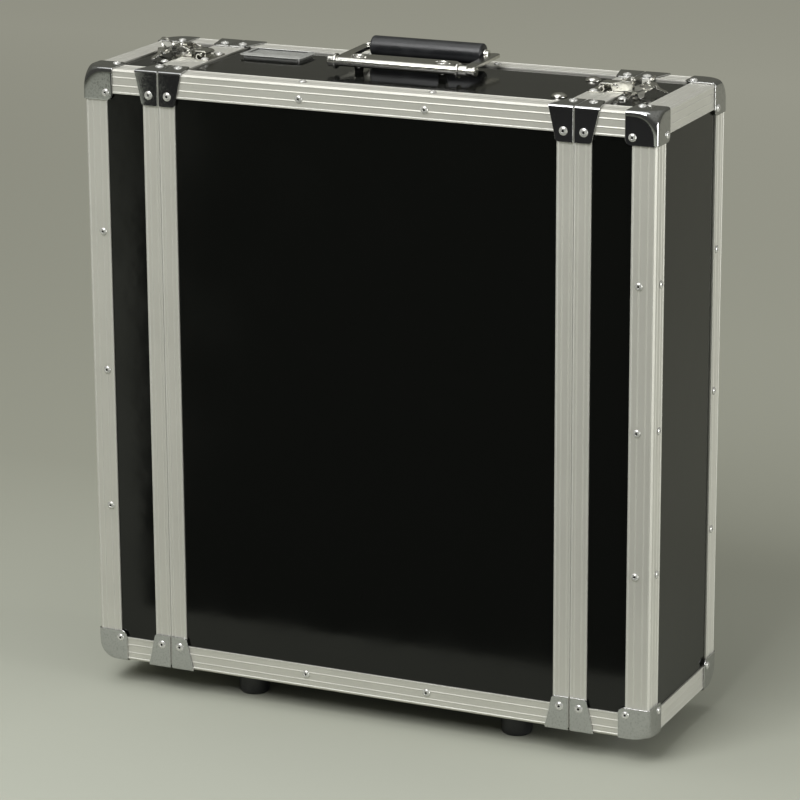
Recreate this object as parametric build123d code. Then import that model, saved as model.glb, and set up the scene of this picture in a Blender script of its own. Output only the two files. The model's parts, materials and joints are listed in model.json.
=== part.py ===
# Rack case, three units high inside, standing on its feet with the handle up.
# Black laminated boards are held by ribbed aluminium edging. A lid lifts off each end
# of the body, held by a draw latch on the top and one on the underside.
# Millimetres, +Z up, +X towards the front lid. The origin is on the ground, under the
# middle of the case. Every piece is drawn about the middle of the case, then lifted.
from build123d import *

import os
from math import atan2, cos, degrees, pi, radians, sin, sqrt

os.makedirs("parts", exist_ok=True)

# Outer size over the edging, and the height that the feet give
length = 518.0
width = 160.0
height = 530.0
foot_drop = 25.0

# Boards and ribbed edging
sheet = 1.5
board = 9.0
leg = 21.0
corner_bevel = 1.5
rib_depth = 0.35
rib_half = 0.8
rib_flank = 0.3
rib_lip = 1.3
angle_ribs = (7.1, 14.2)
lining = 8.0

# Seams between the body and the two lids: a tongue on the body, a groove on the lid
lid_depth = 70.75
seam_gap = 0.2
strip = 14.95
strip_ribs = (3.6, 9.9)
strip_depth = 12.0
tongue_reach = 3.6
tongue_half = 2.0
tongue_taper = 0.8
groove_reach = 4.6
groove_clearance = 0.4
body_web = 2.2
lid_web = 6.4

# Pressed corner caps and seam brackets
cap_sheet = 1.2
cap_leg = 27.0
cap_ball_inset = 20.0
cap_lobe = 3.6
cap_bevel = 1.4
cap_inner_cut = 27.2
cap_rivet = 20.5
corner_clear = 45.3
board_corner_clear = 47.0
bracket_sheet = 1.4
bracket_gap = 0.75
bracket_half_width = 22.0
bracket_waist = (17.3, 20.5)
bracket_end = (15.8, 28.7)
bracket_lobe = 2.4
bracket_bevel = 1.6
bracket_rivet = (8.8, 19.75)

# Rivet heads, and their places along the edging
rivet_r = 3.0
rivet_top_r = 1.9
rivet_height = 1.3
bracket_rivet_r = 3.7
side_rivet_x = 57.0
top_rivet_x = 59.0
long_rivet_inset = 12.5
end_rivet_inset = 14.0
end_rivet_pitch = 123.0

# Rack rails for three units, with the hole rows at the rack standard's spacing
rack_unit = 44.45
rack_holes = (6.35, 22.225, 38.1)
rack_rows = 465.1
panel_screw_y = 28.575
rack_opening = 450.0
rail_sheet = 2.0
rail_front = 173.0
rail_leg = 30.0
rail_bend = 1.5
rail_hole_r = 2.5
rail_bolt_y = 38.0
rail_bolt_r = 3.0
rail_bolt_head = ((6.5, 0), (5.4, 2.2), (3.0, 3.4))
rail_nut = (5.8, 5.0)

# Folding handle on the top board, lying back at rest
handle_y = -11.0
handle_rise = 8.0
tube_r = 4.1
tube_play = 0.08
tube_half = 53.5
hinge_pin_r = 3.0
hinge_flange = (6.0, 54.3, 55.6)
hinge_hub_r = 4.4
hinge_head = (4.2, 68.6)
grip_y = 54.0
grip_rise = 11.4
grip_r = 8.75
grip_half = 50.0
grip_bevel = 1.0
rod_r = 4.0
rod_collar = (5.6, 52.2, 54.6)
arm_in = 57.0
arm_out = 67.0
arm_thick = 4.0
arm_eye_r = 5.0
arm_past_rod = 5.0
arm_corner = 2.5
strap_sheet = 1.2
strap_half = 51.0
cup_x = 40.0
cup_y = 5.0
cup_rim_r = 8.0
cup_mouth_r = 6.0
cup_foot_r = 5.4
cup_rim_rise = 0.8
cup_screw = (3.7, 2.4)

# Draw latches: u runs from the seam over the lid, v stands off the edging
pivot = (8.0, 5.0)
claw_pivot = (12.6, 3.8)
pivot_r = 1.5
pivot_play = 0.08
pivot_head = (2.4, 1.0)
claw_pin_r = 1.05
claw_play = 0.05
claw_eye_r = 2.3
claw_half = 7.5
claw_lip = (-7.6, -6.4, 1.5)
claw_level = (5.6, 6.8)
cheek = (8.3, 9.5, 3.0)
lever_side = (9.8, 11.0, 3.4)
lever_end = 23.0
lever_top = 10.0
lever_sheet = 1.2
lever_roof = 15.5
lock_place = 19.0
lock_r = 3.0
lock_top = 11.0
lock_foot = 7.2
plate_sheet = 1.0
plate_front = 1.2
plate_half = 12.5
plate_end = 25.0
wing_start = 17.0
wing_half = 33.0
wing_rivet = (21.0, 28.5)
wing_corner = 2.0
keeper_start = -14.2
keeper_half = 17.5
keeper_rivet = (-9.8, 13.5)
keeper_curl = (-3.4, 2.6, 13.0)
keeper_sheet = 1.0
lug = (23.5, 29.2, 5.2, 0.6)
lug_hole = (27.0, 3.0, 1.6)
ring_r = (8.4, 7.2)
ring_half = 0.6
ring_lean = 45.0
key_place = 60.0
key_headings = ((0.3, -0.95), (0.8, -0.1))
key_drop = 6.5
key_length = 20.0
key_bow = (3.5, 6.2)
key_hole_r = 3.0
key_blade = 3.1
key_half = 0.6

# Rubber feet, and the bare plate on the top board
foot_place = (125.5, 43.0)
foot_r = (15.6, 13.4, 11.8)
foot_edge = 1.6
foot_mouth = (6.0, 14.0)
foot_screw_head = (4.6, 3.0)
foot_screw_r = 2.5
tag_size = (54.0, 29.0, 3.4)
tag_place = (-131.5, 32.5)
tag_bevel = 1.6
tag_border = 3.5
tag_recess = 0.6

half_x = length / 2
half_y = width / 2
half_z = height / 2
seam_x = half_x - lid_depth
face_y = half_y - sheet
face_z = half_z - sheet
inner_y = face_y - board
inner_z = face_z - board
rail_wall_x = rail_front - rail_leg / 2
bolt_places = [(rail_wall_x, s * rail_bolt_y) for s in (-1, 1)]
signs = (-1, 1)
lowest = (Align.CENTER, Align.CENTER, Align.MIN)


def box_between(low, high):
    """Box from its lowest to its highest corner."""
    size = [b - a for a, b in zip(low, high)]
    middle = [(a + b) / 2 for a, b in zip(low, high)]
    return Pos(*middle) * Box(*size)


def cut_at(shape, point, normal):
    """What lies behind a plane through the point, seen along its normal."""
    return split(shape, bisect_by=Plane(origin=point, z_dir=normal), keep=Keep.BOTTOM)


def faceted(sides, *rings):
    """Small round piece with few faces, from pairs of radius and height."""
    return loft([Pos(0, 0, z) * RegularPolygon(r, sides) for r, z in rings], ruled=True)


def bored(sides, r, play=0.0):
    """Outline of a hole that clears a faceted pin of the same number of sides."""
    return RegularPolygon((r + play) / (cos(pi / sides) if play else 1), sides)


def turned(shape, sx=1, sy=1, sz=1):
    """The same piece on the other side of the case, for each sign that is negative."""
    if sx < 0:
        shape = mirror(shape, about=Plane.YZ)
    if sy < 0:
        shape = mirror(shape, about=Plane.XZ)
    if sz < 0:
        shape = mirror(shape, about=Plane.XY)
    return shape


def all_four(shape):
    """A piece of one long edge, repeated on the other three."""
    return [turned(shape, 1, sy, sz) for sy in signs for sz in signs]


def both_ends(shapes):
    """Pieces of the front seam, repeated at the rear one."""
    return [turned(shape, sx) for shape in shapes for sx in signs]


def both_levels(shapes):
    """Latch pieces drawn at the seam, placed on the top and on the underside."""
    placed = [Pos(seam_x, 0, half_z) * shape for shape in shapes]
    return [turned(shape, 1, 1, sz) for shape in placed for sz in signs]


def save(node, *shapes):
    """Writes one node, lifted so that the feet stand on the ground."""
    lift = Location((0, 0, case_middle))
    solids = [solid.moved(lift) for shape in shapes for solid in shape.solids()]
    export_step(solids[0] if len(solids) == 1 else Compound(solids), f"parts/{node}.step")


case_middle = foot_drop + half_z

# Ribbed aluminium edging


def ribbed_points(start, ribs, end):
    """Outer face of an extruded leg: flat borders, shallow grooves and thin ribs."""
    points = [(start, 0), (start + rib_flank, rib_depth)]
    for rib in ribs:
        points += [(rib - rib_half, rib_depth), (rib, 0), (rib + rib_half, rib_depth)]
    return points + [(end - rib_lip - rib_flank, rib_depth), (end - rib_lip, 0), (end, 0)]


def angle_section():
    """L section of the edge angle, its outer corner at the origin."""
    face = ribbed_points(corner_bevel + 0.8, angle_ribs, leg)
    other = [(y, x) for x, y in reversed(face)]
    inside = [(leg, sheet), (sheet, sheet), (sheet, leg)]
    return make_face(Polyline((corner_bevel, 0), *face, *inside, *other, (0, corner_bevel),
                              (corner_bevel, 0)))


def angle_bar(start, run, leg_a, leg_b):
    """Edge angle from a point on the outer edge, along run, with its legs along a and b."""
    along = Vector(*run)
    first = Vector(*leg_a)
    if along.cross(first).dot(Vector(*leg_b)) < 0:
        first = Vector(*leg_b)
    plane = Plane(origin=start, x_dir=first, z_dir=along.normalized())
    return extrude(plane * angle_section(), amount=along.length)


def corner_cuts(bar, axis, sy, sz):
    """Mitres one end of a front lid bar on both legs, and clears the cap's round tip."""
    tip = (half_x, sy * half_y, sz * half_z)
    out = {"x": (1, 0, 0), "y": (0, sy, 0), "z": (0, 0, sz)}
    for other in "xyz":
        if other != axis:
            normal = [a - b for a, b in zip(out[axis], out[other])]
            bar = cut_at(bar, tip, normal)
    return cut_at(bar, tip_point(corner_clear, sy, sz), (1, sy, sz))


def tip_point(reach, sy, sz):
    """Point on the corner's diagonal, at a summed distance from the ball's middle."""
    inset = cap_ball_inset - reach / 3
    return (half_x - inset, sy * (half_y - inset), sz * (half_z - inset))


def body_edge_angles():
    """Angles along the body's four long edges, between the seam frames."""
    run = 2 * (seam_x - strip)
    bar = angle_bar((-run / 2, half_y, half_z), (run, 0, 0), (0, -1, 0), (0, 0, -1))
    return all_four(bar)


def lid_edge_angles():
    """Short angles along the lid's long edges, from the seam frame to the corners."""
    start = seam_x + strip
    bar = angle_bar((start, half_y, half_z), (half_x - start, 0, 0), (0, -1, 0), (0, 0, -1))
    return all_four(corner_cuts(bar, "x", 1, 1))


def lid_end_angles():
    """Mitred frame of four angles round the lid's end board."""
    upright = angle_bar((half_x, half_y, -half_z), (0, 0, height), (-1, 0, 0), (0, -1, 0))
    across = angle_bar((half_x, -half_y, half_z), (0, width, 0), (-1, 0, 0), (0, 0, -1))
    for s in signs:
        upright = corner_cuts(upright, "z", 1, s)
        across = corner_cuts(across, "y", s, 1)
    return [upright, turned(upright, 1, -1), across, turned(across, 1, 1, -1)]


# Seam strips: a mitred frame round each end of the body and round each lid


def strip_section(tongue):
    """Seam strip: u runs from the seam into its own half, v from the outer face inwards."""
    web = body_web if tongue else lid_web
    face = [(seam_gap, 0)] + ribbed_points(seam_gap + 0.7, strip_ribs, strip)
    channel = [(strip, sheet), (web, sheet), (web, sheet + board), (strip_depth, sheet + board)]
    back = [(strip_depth, strip_depth), (seam_gap, strip_depth)]
    mid = strip_depth / 2
    root = tongue_half if tongue else tongue_half + groove_clearance
    reach = -tongue_reach if tongue else groove_reach
    tip = root - tongue_taper
    key = [(seam_gap, mid + root), (reach, mid + tip), (reach, mid - tip), (seam_gap, mid - root)]
    return make_face(Polyline(*face, *channel, *back, *key, (seam_gap, 0)))


def seam_frame(tongue):
    """Four mitred strips at the front seam, on the body's side or on the lid's."""
    section = strip_section(tongue)
    u = Vector(-1 if tongue else 1, 0, 0)
    bars = []
    for v, face, half in ((Vector(0, -1, 0), half_y, half_z), (Vector(0, 0, -1), half_z, half_y)):
        plane = Plane(origin=Vector(seam_x, 0, 0) - v * face, x_dir=u, z_dir=u.cross(v))
        bar = extrude(plane * section, amount=half, both=True)
        upright = face == half_y
        for s in signs:
            sy, sz = (1, s) if upright else (s, 1)
            normal = (0, -1, s) if upright else (0, s, -1)
            bar = cut_at(bar, (0, sy * half_y, sz * half_z), normal)
            bar = cut_at(bar, (0, sy * half_y, sz * (half_z - corner_bevel)), (0, sy, sz))
        bars += [bar, turned(bar, 1, -1) if upright else turned(bar, 1, 1, -1)]
    return bars


# Boards and lining


def body_boards():
    """Near, far, top and bottom board, the last two drilled for the rail bolts."""
    end = seam_x - body_web
    side = box_between((-end, inner_y, -face_z), (end, face_y, face_z))
    top = box_between((-end, -inner_y, inner_z), (end, inner_y, face_z))
    for x, y in bolt_places:
        top = top - Pos(x, y) * extrude(bored(6, rail_bolt_r), amount=half_z)
    return turned(side, 1, -1), side, top, turned(top, 1, 1, -1)


def lid_sides():
    """The lid's four side boards, their outer corners cut off under the caps."""
    start = seam_x + lid_web
    end = half_x - sheet
    side = box_between((start, inner_y, -face_z), (end, face_y, face_z))
    top = box_between((start, -inner_y, inner_z), (end, inner_y, face_z))
    for s in signs:
        side = cut_at(side, tip_point(board_corner_clear, 1, s), (1, 1, s))
        top = cut_at(top, tip_point(board_corner_clear, s, 1), (1, s, 1))
    return [side, turned(side, 1, -1), top, turned(top, 1, 1, -1)]


def lid_end_board():
    end = half_x - sheet
    return box_between((end - board, -inner_y, -inner_z), (end, inner_y, inner_z))


def lid_lining():
    """Soft sheet on the inside of the end board."""
    end = half_x - sheet - board
    return box_between((end - lining, 1 - inner_y, 1 - inner_z), (end, inner_y - 1, inner_z - 1))


# Corner caps and seam brackets, pressed from bright sheet


def rounded_corner():
    """Cube corner with bevelled edges, its tip cut to facets round a ball."""
    block = box_between((-cap_leg,) * 3, (cap_sheet,) * 3)
    edges = [e for e in block.edges() if sum(abs(c - cap_sheet) < 0.01 for c in e.center()) == 2]
    block = chamfer(edges, cap_bevel)
    middle = Vector(-cap_ball_inset, -cap_ball_inset, -cap_ball_inset)
    for normal in ((1, 1, 1), (2, 2, 1), (2, 1, 2), (1, 2, 2)):
        reach = Vector(*normal).normalized() * ((cap_sheet + cap_ball_inset) * sqrt(2))
        block = cut_at(block, middle + reach, normal)
    return block


def corner_cap():
    """Three square flaps and a round tip, over the corner where three angles meet."""
    inset = cap_inner_cut / sqrt(3) - cap_ball_inset
    cap = rounded_corner() - cut_at(box_between((-50,) * 3, (0,) * 3), (inset,) * 3, (1, 1, 1))
    lobes = []
    for e in cap.edges():
        near = sum(abs(c + cap_leg) < 0.01 for c in e.center())
        across = sum(abs(c - cap_sheet / 2) < 0.01 for c in e.center())
        if near == 2 and across == 1:
            lobes.append(e)
    return Pos(half_x, half_y, half_z) * chamfer(lobes, cap_lobe)


def seam_bracket():
    """Half of a bracket pair: two waisted flaps round a long edge, on the lid's side."""
    x0, x1 = bracket_gap, bracket_half_width
    waist, end = bracket_waist, bracket_end
    points = [(x0, 3), (x1, 3), (x1, 0), (waist[0], -waist[1]), (end[0], -end[1]), (x0, -end[1])]
    outline = make_face(Polyline(*points, (x0, 3)))
    low = outline.vertices().group_by(Axis.Y)[0].sort_by(Axis.X)[-1]
    outline = chamfer(low, bracket_lobe)
    outer = box_between((0, -40, -40), (x1 + 1, bracket_sheet, bracket_sheet))
    bend = outer.edges().filter_by(Axis.X).group_by(Axis.Z)[-1].sort_by(Axis.Y)[-1]
    inner = box_between((-1, -50, -50), (x1 + 2, 0, 0))
    side = extrude(Plane.XZ * outline, amount=60, both=True)
    top = extrude(outline, amount=60, both=True)
    return (chamfer(bend, bracket_bevel) - inner) & side & top


def brackets(side):
    """The four brackets of the front seam, on the lid's side or, mirrored, on the body's."""
    half = turned(seam_bracket(), side)
    return all_four(Pos(seam_x, half_y, half_z) * half)


# Rivet heads


def head(place, out, r=rivet_r):
    """Low rivet head on a face, standing out along the given direction."""
    plane = Plane(origin=place, z_dir=out)
    return plane * faceted(6, (r, 0), (r * rivet_top_r / rivet_r, rivet_height))


def bracket_rivets(side):
    """Rivets of the front seam's brackets on one side of the seam."""
    along, down = bracket_rivet
    x = seam_x + side * along
    y, z = half_y + bracket_sheet, half_z + bracket_sheet
    pair = [head((x, y, half_z - down), (0, 1, 0), bracket_rivet_r)]
    pair.append(head((x, half_y - down, z), (0, 0, 1), bracket_rivet_r))
    return [rivet for one in pair for rivet in all_four(one)]


def body_rivets():
    """Rivets of the long edge angles and of the body's brackets."""
    rivets = []
    for s in signs:
        on_side = head((s * side_rivet_x, half_y, half_z - long_rivet_inset), (0, 1, 0))
        on_top = head((s * top_rivet_x, half_y - long_rivet_inset, half_z), (0, 0, 1))
        rivets += all_four(on_side) + all_four(on_top)
        rivets += [turned(rivet, s) for rivet in bracket_rivets(-1)]
    return rivets


def lid_rivets():
    """Rivets of the front lid's end angles, corner caps and brackets."""
    rivets = bracket_rivets(1)
    for step in (-1, 0, 1):
        z = step * end_rivet_pitch
        on_side = head((half_x - end_rivet_inset, half_y, z), (0, 1, 0))
        on_end = head((half_x, half_y - end_rivet_inset, z), (1, 0, 0))
        rivets += [turned(one, 1, s) for one in (on_side, on_end) for s in signs]
    for axis in range(3):
        place = [half_x - cap_rivet, half_y - cap_rivet, half_z - cap_rivet]
        place[axis] += cap_rivet + cap_sheet
        out = [0, 0, 0]
        out[axis] = 1
        rivets += all_four(head(place, out))
    return rivets


# Rack rails and their bolts


def rack_rail():
    """Bent angle on the top board, with three units of holes in its front flange."""
    back = rail_front - rail_leg
    front, inside = rail_front, rail_front - rail_sheet
    low, under = rack_opening / 2, inner_z - rail_sheet
    points = [(back, inner_z), (front - rail_bend, inner_z), (front, inner_z - rail_bend)]
    points += [(front, low), (inside, low), (inside, under), (back, under)]
    outline = make_face(Polyline(*points, (back, inner_z)))
    rail = extrude(Plane.XZ * outline, amount=1.5 * rack_unit - 0.2, both=True)
    for unit in (-1, 0, 1):
        for hole in rack_holes:
            y = (unit - 0.5) * rack_unit + hole
            drill = extrude(bored(6, rail_hole_r), amount=10, both=True)
            if abs(abs(y) - panel_screw_y) < 0.01:
                drill = Cylinder(rail_hole_r, 10)
            rail = rail - Pos(front, y, rack_rows / 2) * Rot(0, 90, 0) * drill
    for x, y in bolt_places:
        rail = rail - Pos(x, y) * extrude(bored(6, rail_bolt_r), amount=half_z)
    return rail


def rail_bolt():
    """Domed bolt from outside, through the board and the rail."""
    reach = board + rail_sheet + rail_nut[1] + 1.5
    return faceted(8, *rail_bolt_head) + faceted(6, (rail_bolt_r, -reach), (rail_bolt_r, 0))


def rail_bolts():
    bolts = [Pos(x, y, face_z) * rail_bolt() for x, y in bolt_places]
    return bolts + [turned(bolt, 1, 1, -1) for bolt in bolts]


def rail_nuts():
    """Hexagon nuts inside the rails."""
    r, depth = rail_nut
    nut = extrude(RegularPolygon(r, 6) - bored(6, rail_bolt_r), amount=-depth)
    nuts = [Pos(x, y, inner_z - rail_sheet) * nut for x, y in bolt_places]
    return nuts + [turned(one, 1, 1, -1) for one in nuts]


# Folding handle


def along_x(y, z, sides, *steps):
    """Turned piece on a line along X: radius, start and end of each step of its front half."""
    whole = Part()
    for r, start, end in steps:
        for s in signs:
            step = faceted(sides, (r, s * start), (r, s * end))
            whole = whole + step
    return Pos(0, y, z) * Rot(0, 90, 0) * whole


hinge_z = half_z + handle_rise
rod_z = half_z + grip_rise


def handle_base():
    """Rolled hinge tube with a strap behind it, and two drawn cups down to the board."""
    top = hinge_z + tube_r
    tube = faceted(16, (tube_r, -tube_half), (tube_r, tube_half))
    base = Pos(0, handle_y, hinge_z) * Rot(0, 90, 0) * tube
    base = base + box_between((-strap_half, handle_y, top - strap_sheet), (strap_half, cup_y, top))
    depth = top - face_z
    for s in signs:
        place = Pos(s * cup_x, cup_y, face_z)
        rim = faceted(12, (cup_rim_r, depth - strap_sheet), (cup_rim_r, depth + cup_rim_rise))
        cup = rim + faceted(12, (cup_foot_r, 0), (cup_mouth_r + 1.2, depth))
        well = faceted(12, (cup_foot_r - 1.2, strap_sheet), (cup_mouth_r, depth + 1))
        base = base + place * cup - place * well
    bore = extrude(bored(8, hinge_pin_r, tube_play), amount=tube_half + 1, both=True)
    return base - Pos(0, handle_y, hinge_z) * Rot(0, 90, 0) * bore


def handle_base_screws():
    """Screw heads at the bottom of the drawn cups."""
    r, rise = cup_screw
    head_shape = faceted(8, (r, 0), (r * 0.8, rise))
    return [Pos(s * cup_x, cup_y, face_z + strap_sheet) * head_shape for s in signs]


def handle_pin():
    """Hinge pin with a flange and a hub at each end, outside the tube."""
    r, inner, outer = hinge_flange
    head_r, end = hinge_head
    steps = [(hinge_pin_r, 0, arm_out), (r, inner, outer), (hinge_hub_r, outer, arm_in)]
    return along_x(handle_y, hinge_z, 8, *steps, (head_r, arm_out, end))


def handle_arm():
    """Flat bar from the hinge pin to the end of the grip's rod, with an eye at the pin."""
    rise = rod_z - hinge_z
    tilt = degrees(atan2(rise, grip_y - handle_y))
    reach = sqrt(rise ** 2 + (grip_y - handle_y) ** 2) + arm_past_rod
    bar = Pos(reach / 2, 0) * Rectangle(reach, arm_thick)
    side = Rot(0, 0, tilt) * bar + RegularPolygon(arm_eye_r, 12) - bored(8, hinge_pin_r)
    plane = Plane(origin=(arm_in, handle_y, hinge_z), x_dir=(0, 1, 0), z_dir=(1, 0, 0))
    plan = Rectangle(arm_out - arm_in, 4 * grip_y)
    plan = Pos((arm_in + arm_out) / 2, grip_y + arm_past_rod - 2 * grip_y) * plan
    plan = chamfer(plan.vertices().group_by(Axis.Y)[-1].sort_by(Axis.X)[-1], arm_corner)
    return extrude(plane * side, amount=arm_out - arm_in) & extrude(plan, amount=2 * half_z)


def handle_rod():
    """Rod through the grip, with a collar at each end of it."""
    return along_x(grip_y, rod_z, 8, (rod_r, 0, arm_in), rod_collar)


def handle_grip():
    """Rubber sleeve on the rod, its ends bevelled."""
    r, bevel = grip_r, grip_bevel
    middle = grip_half - bevel
    rings = [(r - bevel, -grip_half), (r, -middle), (r, middle), (r - bevel, grip_half)]
    sleeve = faceted(24, *rings) - extrude(bored(8, rod_r), amount=2 * grip_half, both=True)
    return Pos(0, grip_y, rod_z) * Rot(0, 90, 0) * sleeve


# Draw latches, drawn at the front seam on the top


def latch_side(outline, inner, outer):
    """Two like plates standing along the latch, one on each side of its middle."""
    near = Pos(0, -inner, 0) * extrude(Plane.XZ * outline, amount=outer - inner)
    return near, turned(near, 1, -1)


def across_latch(place, outline, half):
    """Bar across the latch, from its outline."""
    return Pos(place[0], 0, place[1]) * extrude(Plane.XZ * outline, amount=half, both=True)


def keeper():
    """Plate on the body's seam strip, its edge rolled up and back into a hook."""
    u, r, half = keeper_curl
    plate = box_between((keeper_start, -keeper_half, 0), (u, keeper_half, keeper_sheet))
    plate = chamfer(plate.edges().filter_by(Axis.Z).group_by(Axis.X)[0], wing_corner)
    ring = RegularPolygon(r, 8) - RegularPolygon(r - keeper_sheet, 8)
    curl = across_latch((u, r), ring, half)
    curl = curl - box_between((u - r - 1, -2 * half, keeper_sheet), (u, 2 * half, r))
    return plate + curl


def latch_plate():
    """Base plate on the lid, joggled down to the board, with pivot cheeks and a lug."""
    low = -sheet
    t = plate_sheet
    top = [(plate_front, t), (strip + 0.4, t), (wing_start, low + t), (plate_end, low + t)]
    under = [(plate_end, low), (wing_start - 0.6, low), (strip + 0.1, 0), (plate_front, 0)]
    outline = make_face(Polyline(*top, *under, (plate_front, t)))
    plate = extrude(Plane.XZ * outline, amount=plate_half, both=True)
    wings = box_between((wing_start, -wing_half, low), (plate_end, wing_half, low + t))
    plate = plate + chamfer(wings.edges().filter_by(Axis.Z), wing_corner)
    inner, outer, r = cheek
    neck = Pos(pivot[0], (pivot[1] + t) / 2) * Rectangle(2 * r, pivot[1] - t)
    ear = neck + Pos(*pivot) * RegularPolygon(r, 8) - Pos(*pivot) * bored(6, pivot_r)
    for side in latch_side(ear, inner, outer):
        plate = plate + side
    start, end, rise, half = lug
    plate = plate + box_between((start, -half, low), (end, half, rise))
    u, v, r = lug_hole
    return plate - across_latch((u, v), RegularPolygon(r, 8), 4 * half)


def latch_pins():
    """Pivot rivets through each cheek and lever side, headed outside."""
    r, thick = pivot_head
    start, end = cheek[0] - 0.3, lever_side[1] + 0.3
    stub = faceted(6, (pivot_r, start), (pivot_r, end)) + faceted(6, (r, end), (r, end + thick))
    near = Pos(pivot[0], 0, pivot[1]) * Rot(90, 0, 0) * stub
    return [near, turned(near, 1, -1)]


def latch_lever():
    """Bent channel on the pivots, open in front where the claw passes, with a lock barrel."""
    inner, outer, nose = lever_side
    low = pivot[1] - nose
    u = pivot[0]
    points = [(u, low), (lever_end, low + 0.5), (lever_end, lever_top), (lever_roof - 1, lever_top)]
    side = make_face(Polyline(*points, (u, pivot[1] + nose), (u, low)))
    side = side + Pos(*pivot) * RegularPolygon(nose, 8)
    side = side - Pos(*pivot) * bored(8, pivot_r, pivot_play)
    side = side - Pos(*claw_pivot) * bored(8, claw_pin_r)
    near, far = latch_side(side, inner, outer)
    under = lever_top - lever_sheet
    roof = box_between((lever_roof, -outer, under), (lever_end, outer, lever_top))
    end = box_between((lever_end - lever_sheet, -outer, low + 0.5), (lever_end, outer, lever_top))
    lock = Pos(lock_place) * faceted(8, (lock_r, lock_foot), (lock_r, lock_top))
    return near + far + roof + end + lock


def latch_claw():
    """Flat claw from its pin over the keeper's curl, its lip behind the curl."""
    back, inside, low = claw_lip
    under, top = claw_level
    u, v = claw_pivot
    left, right = u - 1.7, u + 1.7
    points = [(back, low), (inside, low), (inside, under), (left, under), (left, v), (right, v)]
    points += [(right, under), (u + 0.5, top), (back + 0.8, top), (back, top - 0.8)]
    outline = make_face(Polyline(*points, (back, low))) + Pos(u, v) * RegularPolygon(claw_eye_r, 8)
    outline = outline - Pos(u, v) * bored(8, claw_pin_r, claw_play)
    return extrude(Plane.XZ * outline, amount=claw_half, both=True)


def ring_point(turn):
    """Point on the ring's middle line, turned from the lug's hole."""
    u, v, _ = lug_hole
    up = Vector(cos(radians(ring_lean)), 0, sin(radians(ring_lean)))
    r = sum(ring_r) / 2
    along = up * (r * (1 - cos(radians(turn)))) + Vector(0, r * sin(radians(turn)), 0)
    return Vector(u, 0, v) + along


def key_ring():
    """Ring through the lug, leaning away from the lever."""
    middle = (ring_point(0) + ring_point(180)) * 0.5
    up = ring_point(180) - ring_point(0)
    plane = Plane(origin=middle, x_dir=up, z_dir=up.cross(Vector(0, 1, 0)))
    outline = RegularPolygon(ring_r[0], 12) - RegularPolygon(ring_r[1], 12)
    return extrude(plane * outline, amount=ring_half, both=True)


def keys():
    """Two flat keys on the ring, their tips lying on the board."""
    pair = []
    for s, (u, w) in zip(signs, key_headings):
        flat = sqrt(1 - (key_drop / key_length) ** 2) / sqrt(u * u + w * w)
        along = Vector(u * flat, w * flat, -key_drop / key_length)
        across = Vector(0, 0, 1).cross(along)
        plane = Plane(origin=ring_point(s * key_place), x_dir=along, z_dir=along.cross(across))
        points = [(key_bow[0], key_blade), (key_length - 3, key_blade), (key_length, 0)]
        blade = Polyline(*points, (key_length - 1, -key_blade), (key_bow[0], -key_blade), points[0])
        outline = make_face(blade) + Pos(key_bow[0], 0) * RegularPolygon(key_bow[1], 8)
        outline = outline - RegularPolygon(key_hole_r, 6)
        pair.append(extrude(plane * outline, amount=key_half, both=True))
    return pair


def latch_rivets():
    """Rivet heads of the base plate's wings."""
    u, w = wing_rivet
    return [head((u, s * w, plate_sheet - sheet), (0, 0, 1)) for s in signs]


def keeper_rivets():
    u, w = keeper_rivet
    return [head((u, s * w, keeper_sheet), (0, 0, 1)) for s in signs]


# Feet and the bare plate


def rubber_foot():
    """Tapered foot, hollow from below for its screw."""
    drop = foot_drop + sheet
    top_r, low_r, tread_r = foot_r
    foot = faceted(16, (top_r, 0), (low_r, drop - foot_edge), (tread_r, drop))
    r, depth = foot_mouth
    foot = foot - faceted(8, (r - 0.5, drop - depth), (r, drop + 0.01))
    foot = foot - extrude(bored(6, foot_screw_r), amount=drop)
    return Pos(*foot_place, face_z) * foot


def foot_screw():
    """Screw head in the foot's hollow, its shank up to the board."""
    seat = foot_drop + sheet - foot_mouth[1]
    r, rise = foot_screw_head
    screw = faceted(6, (foot_screw_r, 0), (foot_screw_r, seat))
    return Pos(*foot_place, face_z) * (screw + faceted(8, (r, seat), (r * 0.8, seat + rise)))


def under_the_case(shape):
    """Four copies on the bottom board of a piece drawn on the top one."""
    return [turned(shape, sx, sy, -1) for sx in signs for sy in signs]


def bare_plate():
    """Bevelled plate with a slightly sunken, empty field."""
    x, y, z = tag_size
    plate = Box(x, y, z, align=lowest)
    plate = chamfer(plate.edges().group_by(Axis.Z)[-1], tag_bevel)
    border = 2 * tag_border
    field = Pos(0, 0, z - tag_recess) * Box(x - border, y - border, 2, align=lowest)
    return Pos(*tag_place, face_z) * (plate - field)


# Writing the nodes: the body first, then the handle, then each lid with its latches

boards = body_boards()
save("body_board_near", boards[0])
save("body_board_far", boards[1])
save("body_board_top", boards[2])
save("body_board_bottom", boards[3])
save("body_edge_angles", *body_edge_angles())
save("body_seam_frames", *both_ends(seam_frame(True)))
save("body_brackets", *both_ends(brackets(-1)))
save("body_rivets", *body_rivets(), *both_ends(both_levels(keeper_rivets())))
save("latch_keepers", *both_ends(both_levels([keeper()])))
rail = rack_rail()
save("rack_rail_top", rail)
save("rack_rail_bottom", turned(rail, 1, 1, -1))
save("rail_bolts", *rail_bolts())
save("rail_nuts", *rail_nuts())
save("bare_name_plate", bare_plate())
save("rubber_feet", *under_the_case(rubber_foot()))
save("foot_screws", *under_the_case(foot_screw()))

save("handle_base", handle_base())
save("handle_base_screws", *handle_base_screws())
save("handle_pin", handle_pin())
arm = handle_arm()
save("handle_arm_right", arm)
save("handle_arm_left", turned(arm, -1))
save("handle_rod", handle_rod())
save("handle_grip", handle_grip())

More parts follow.
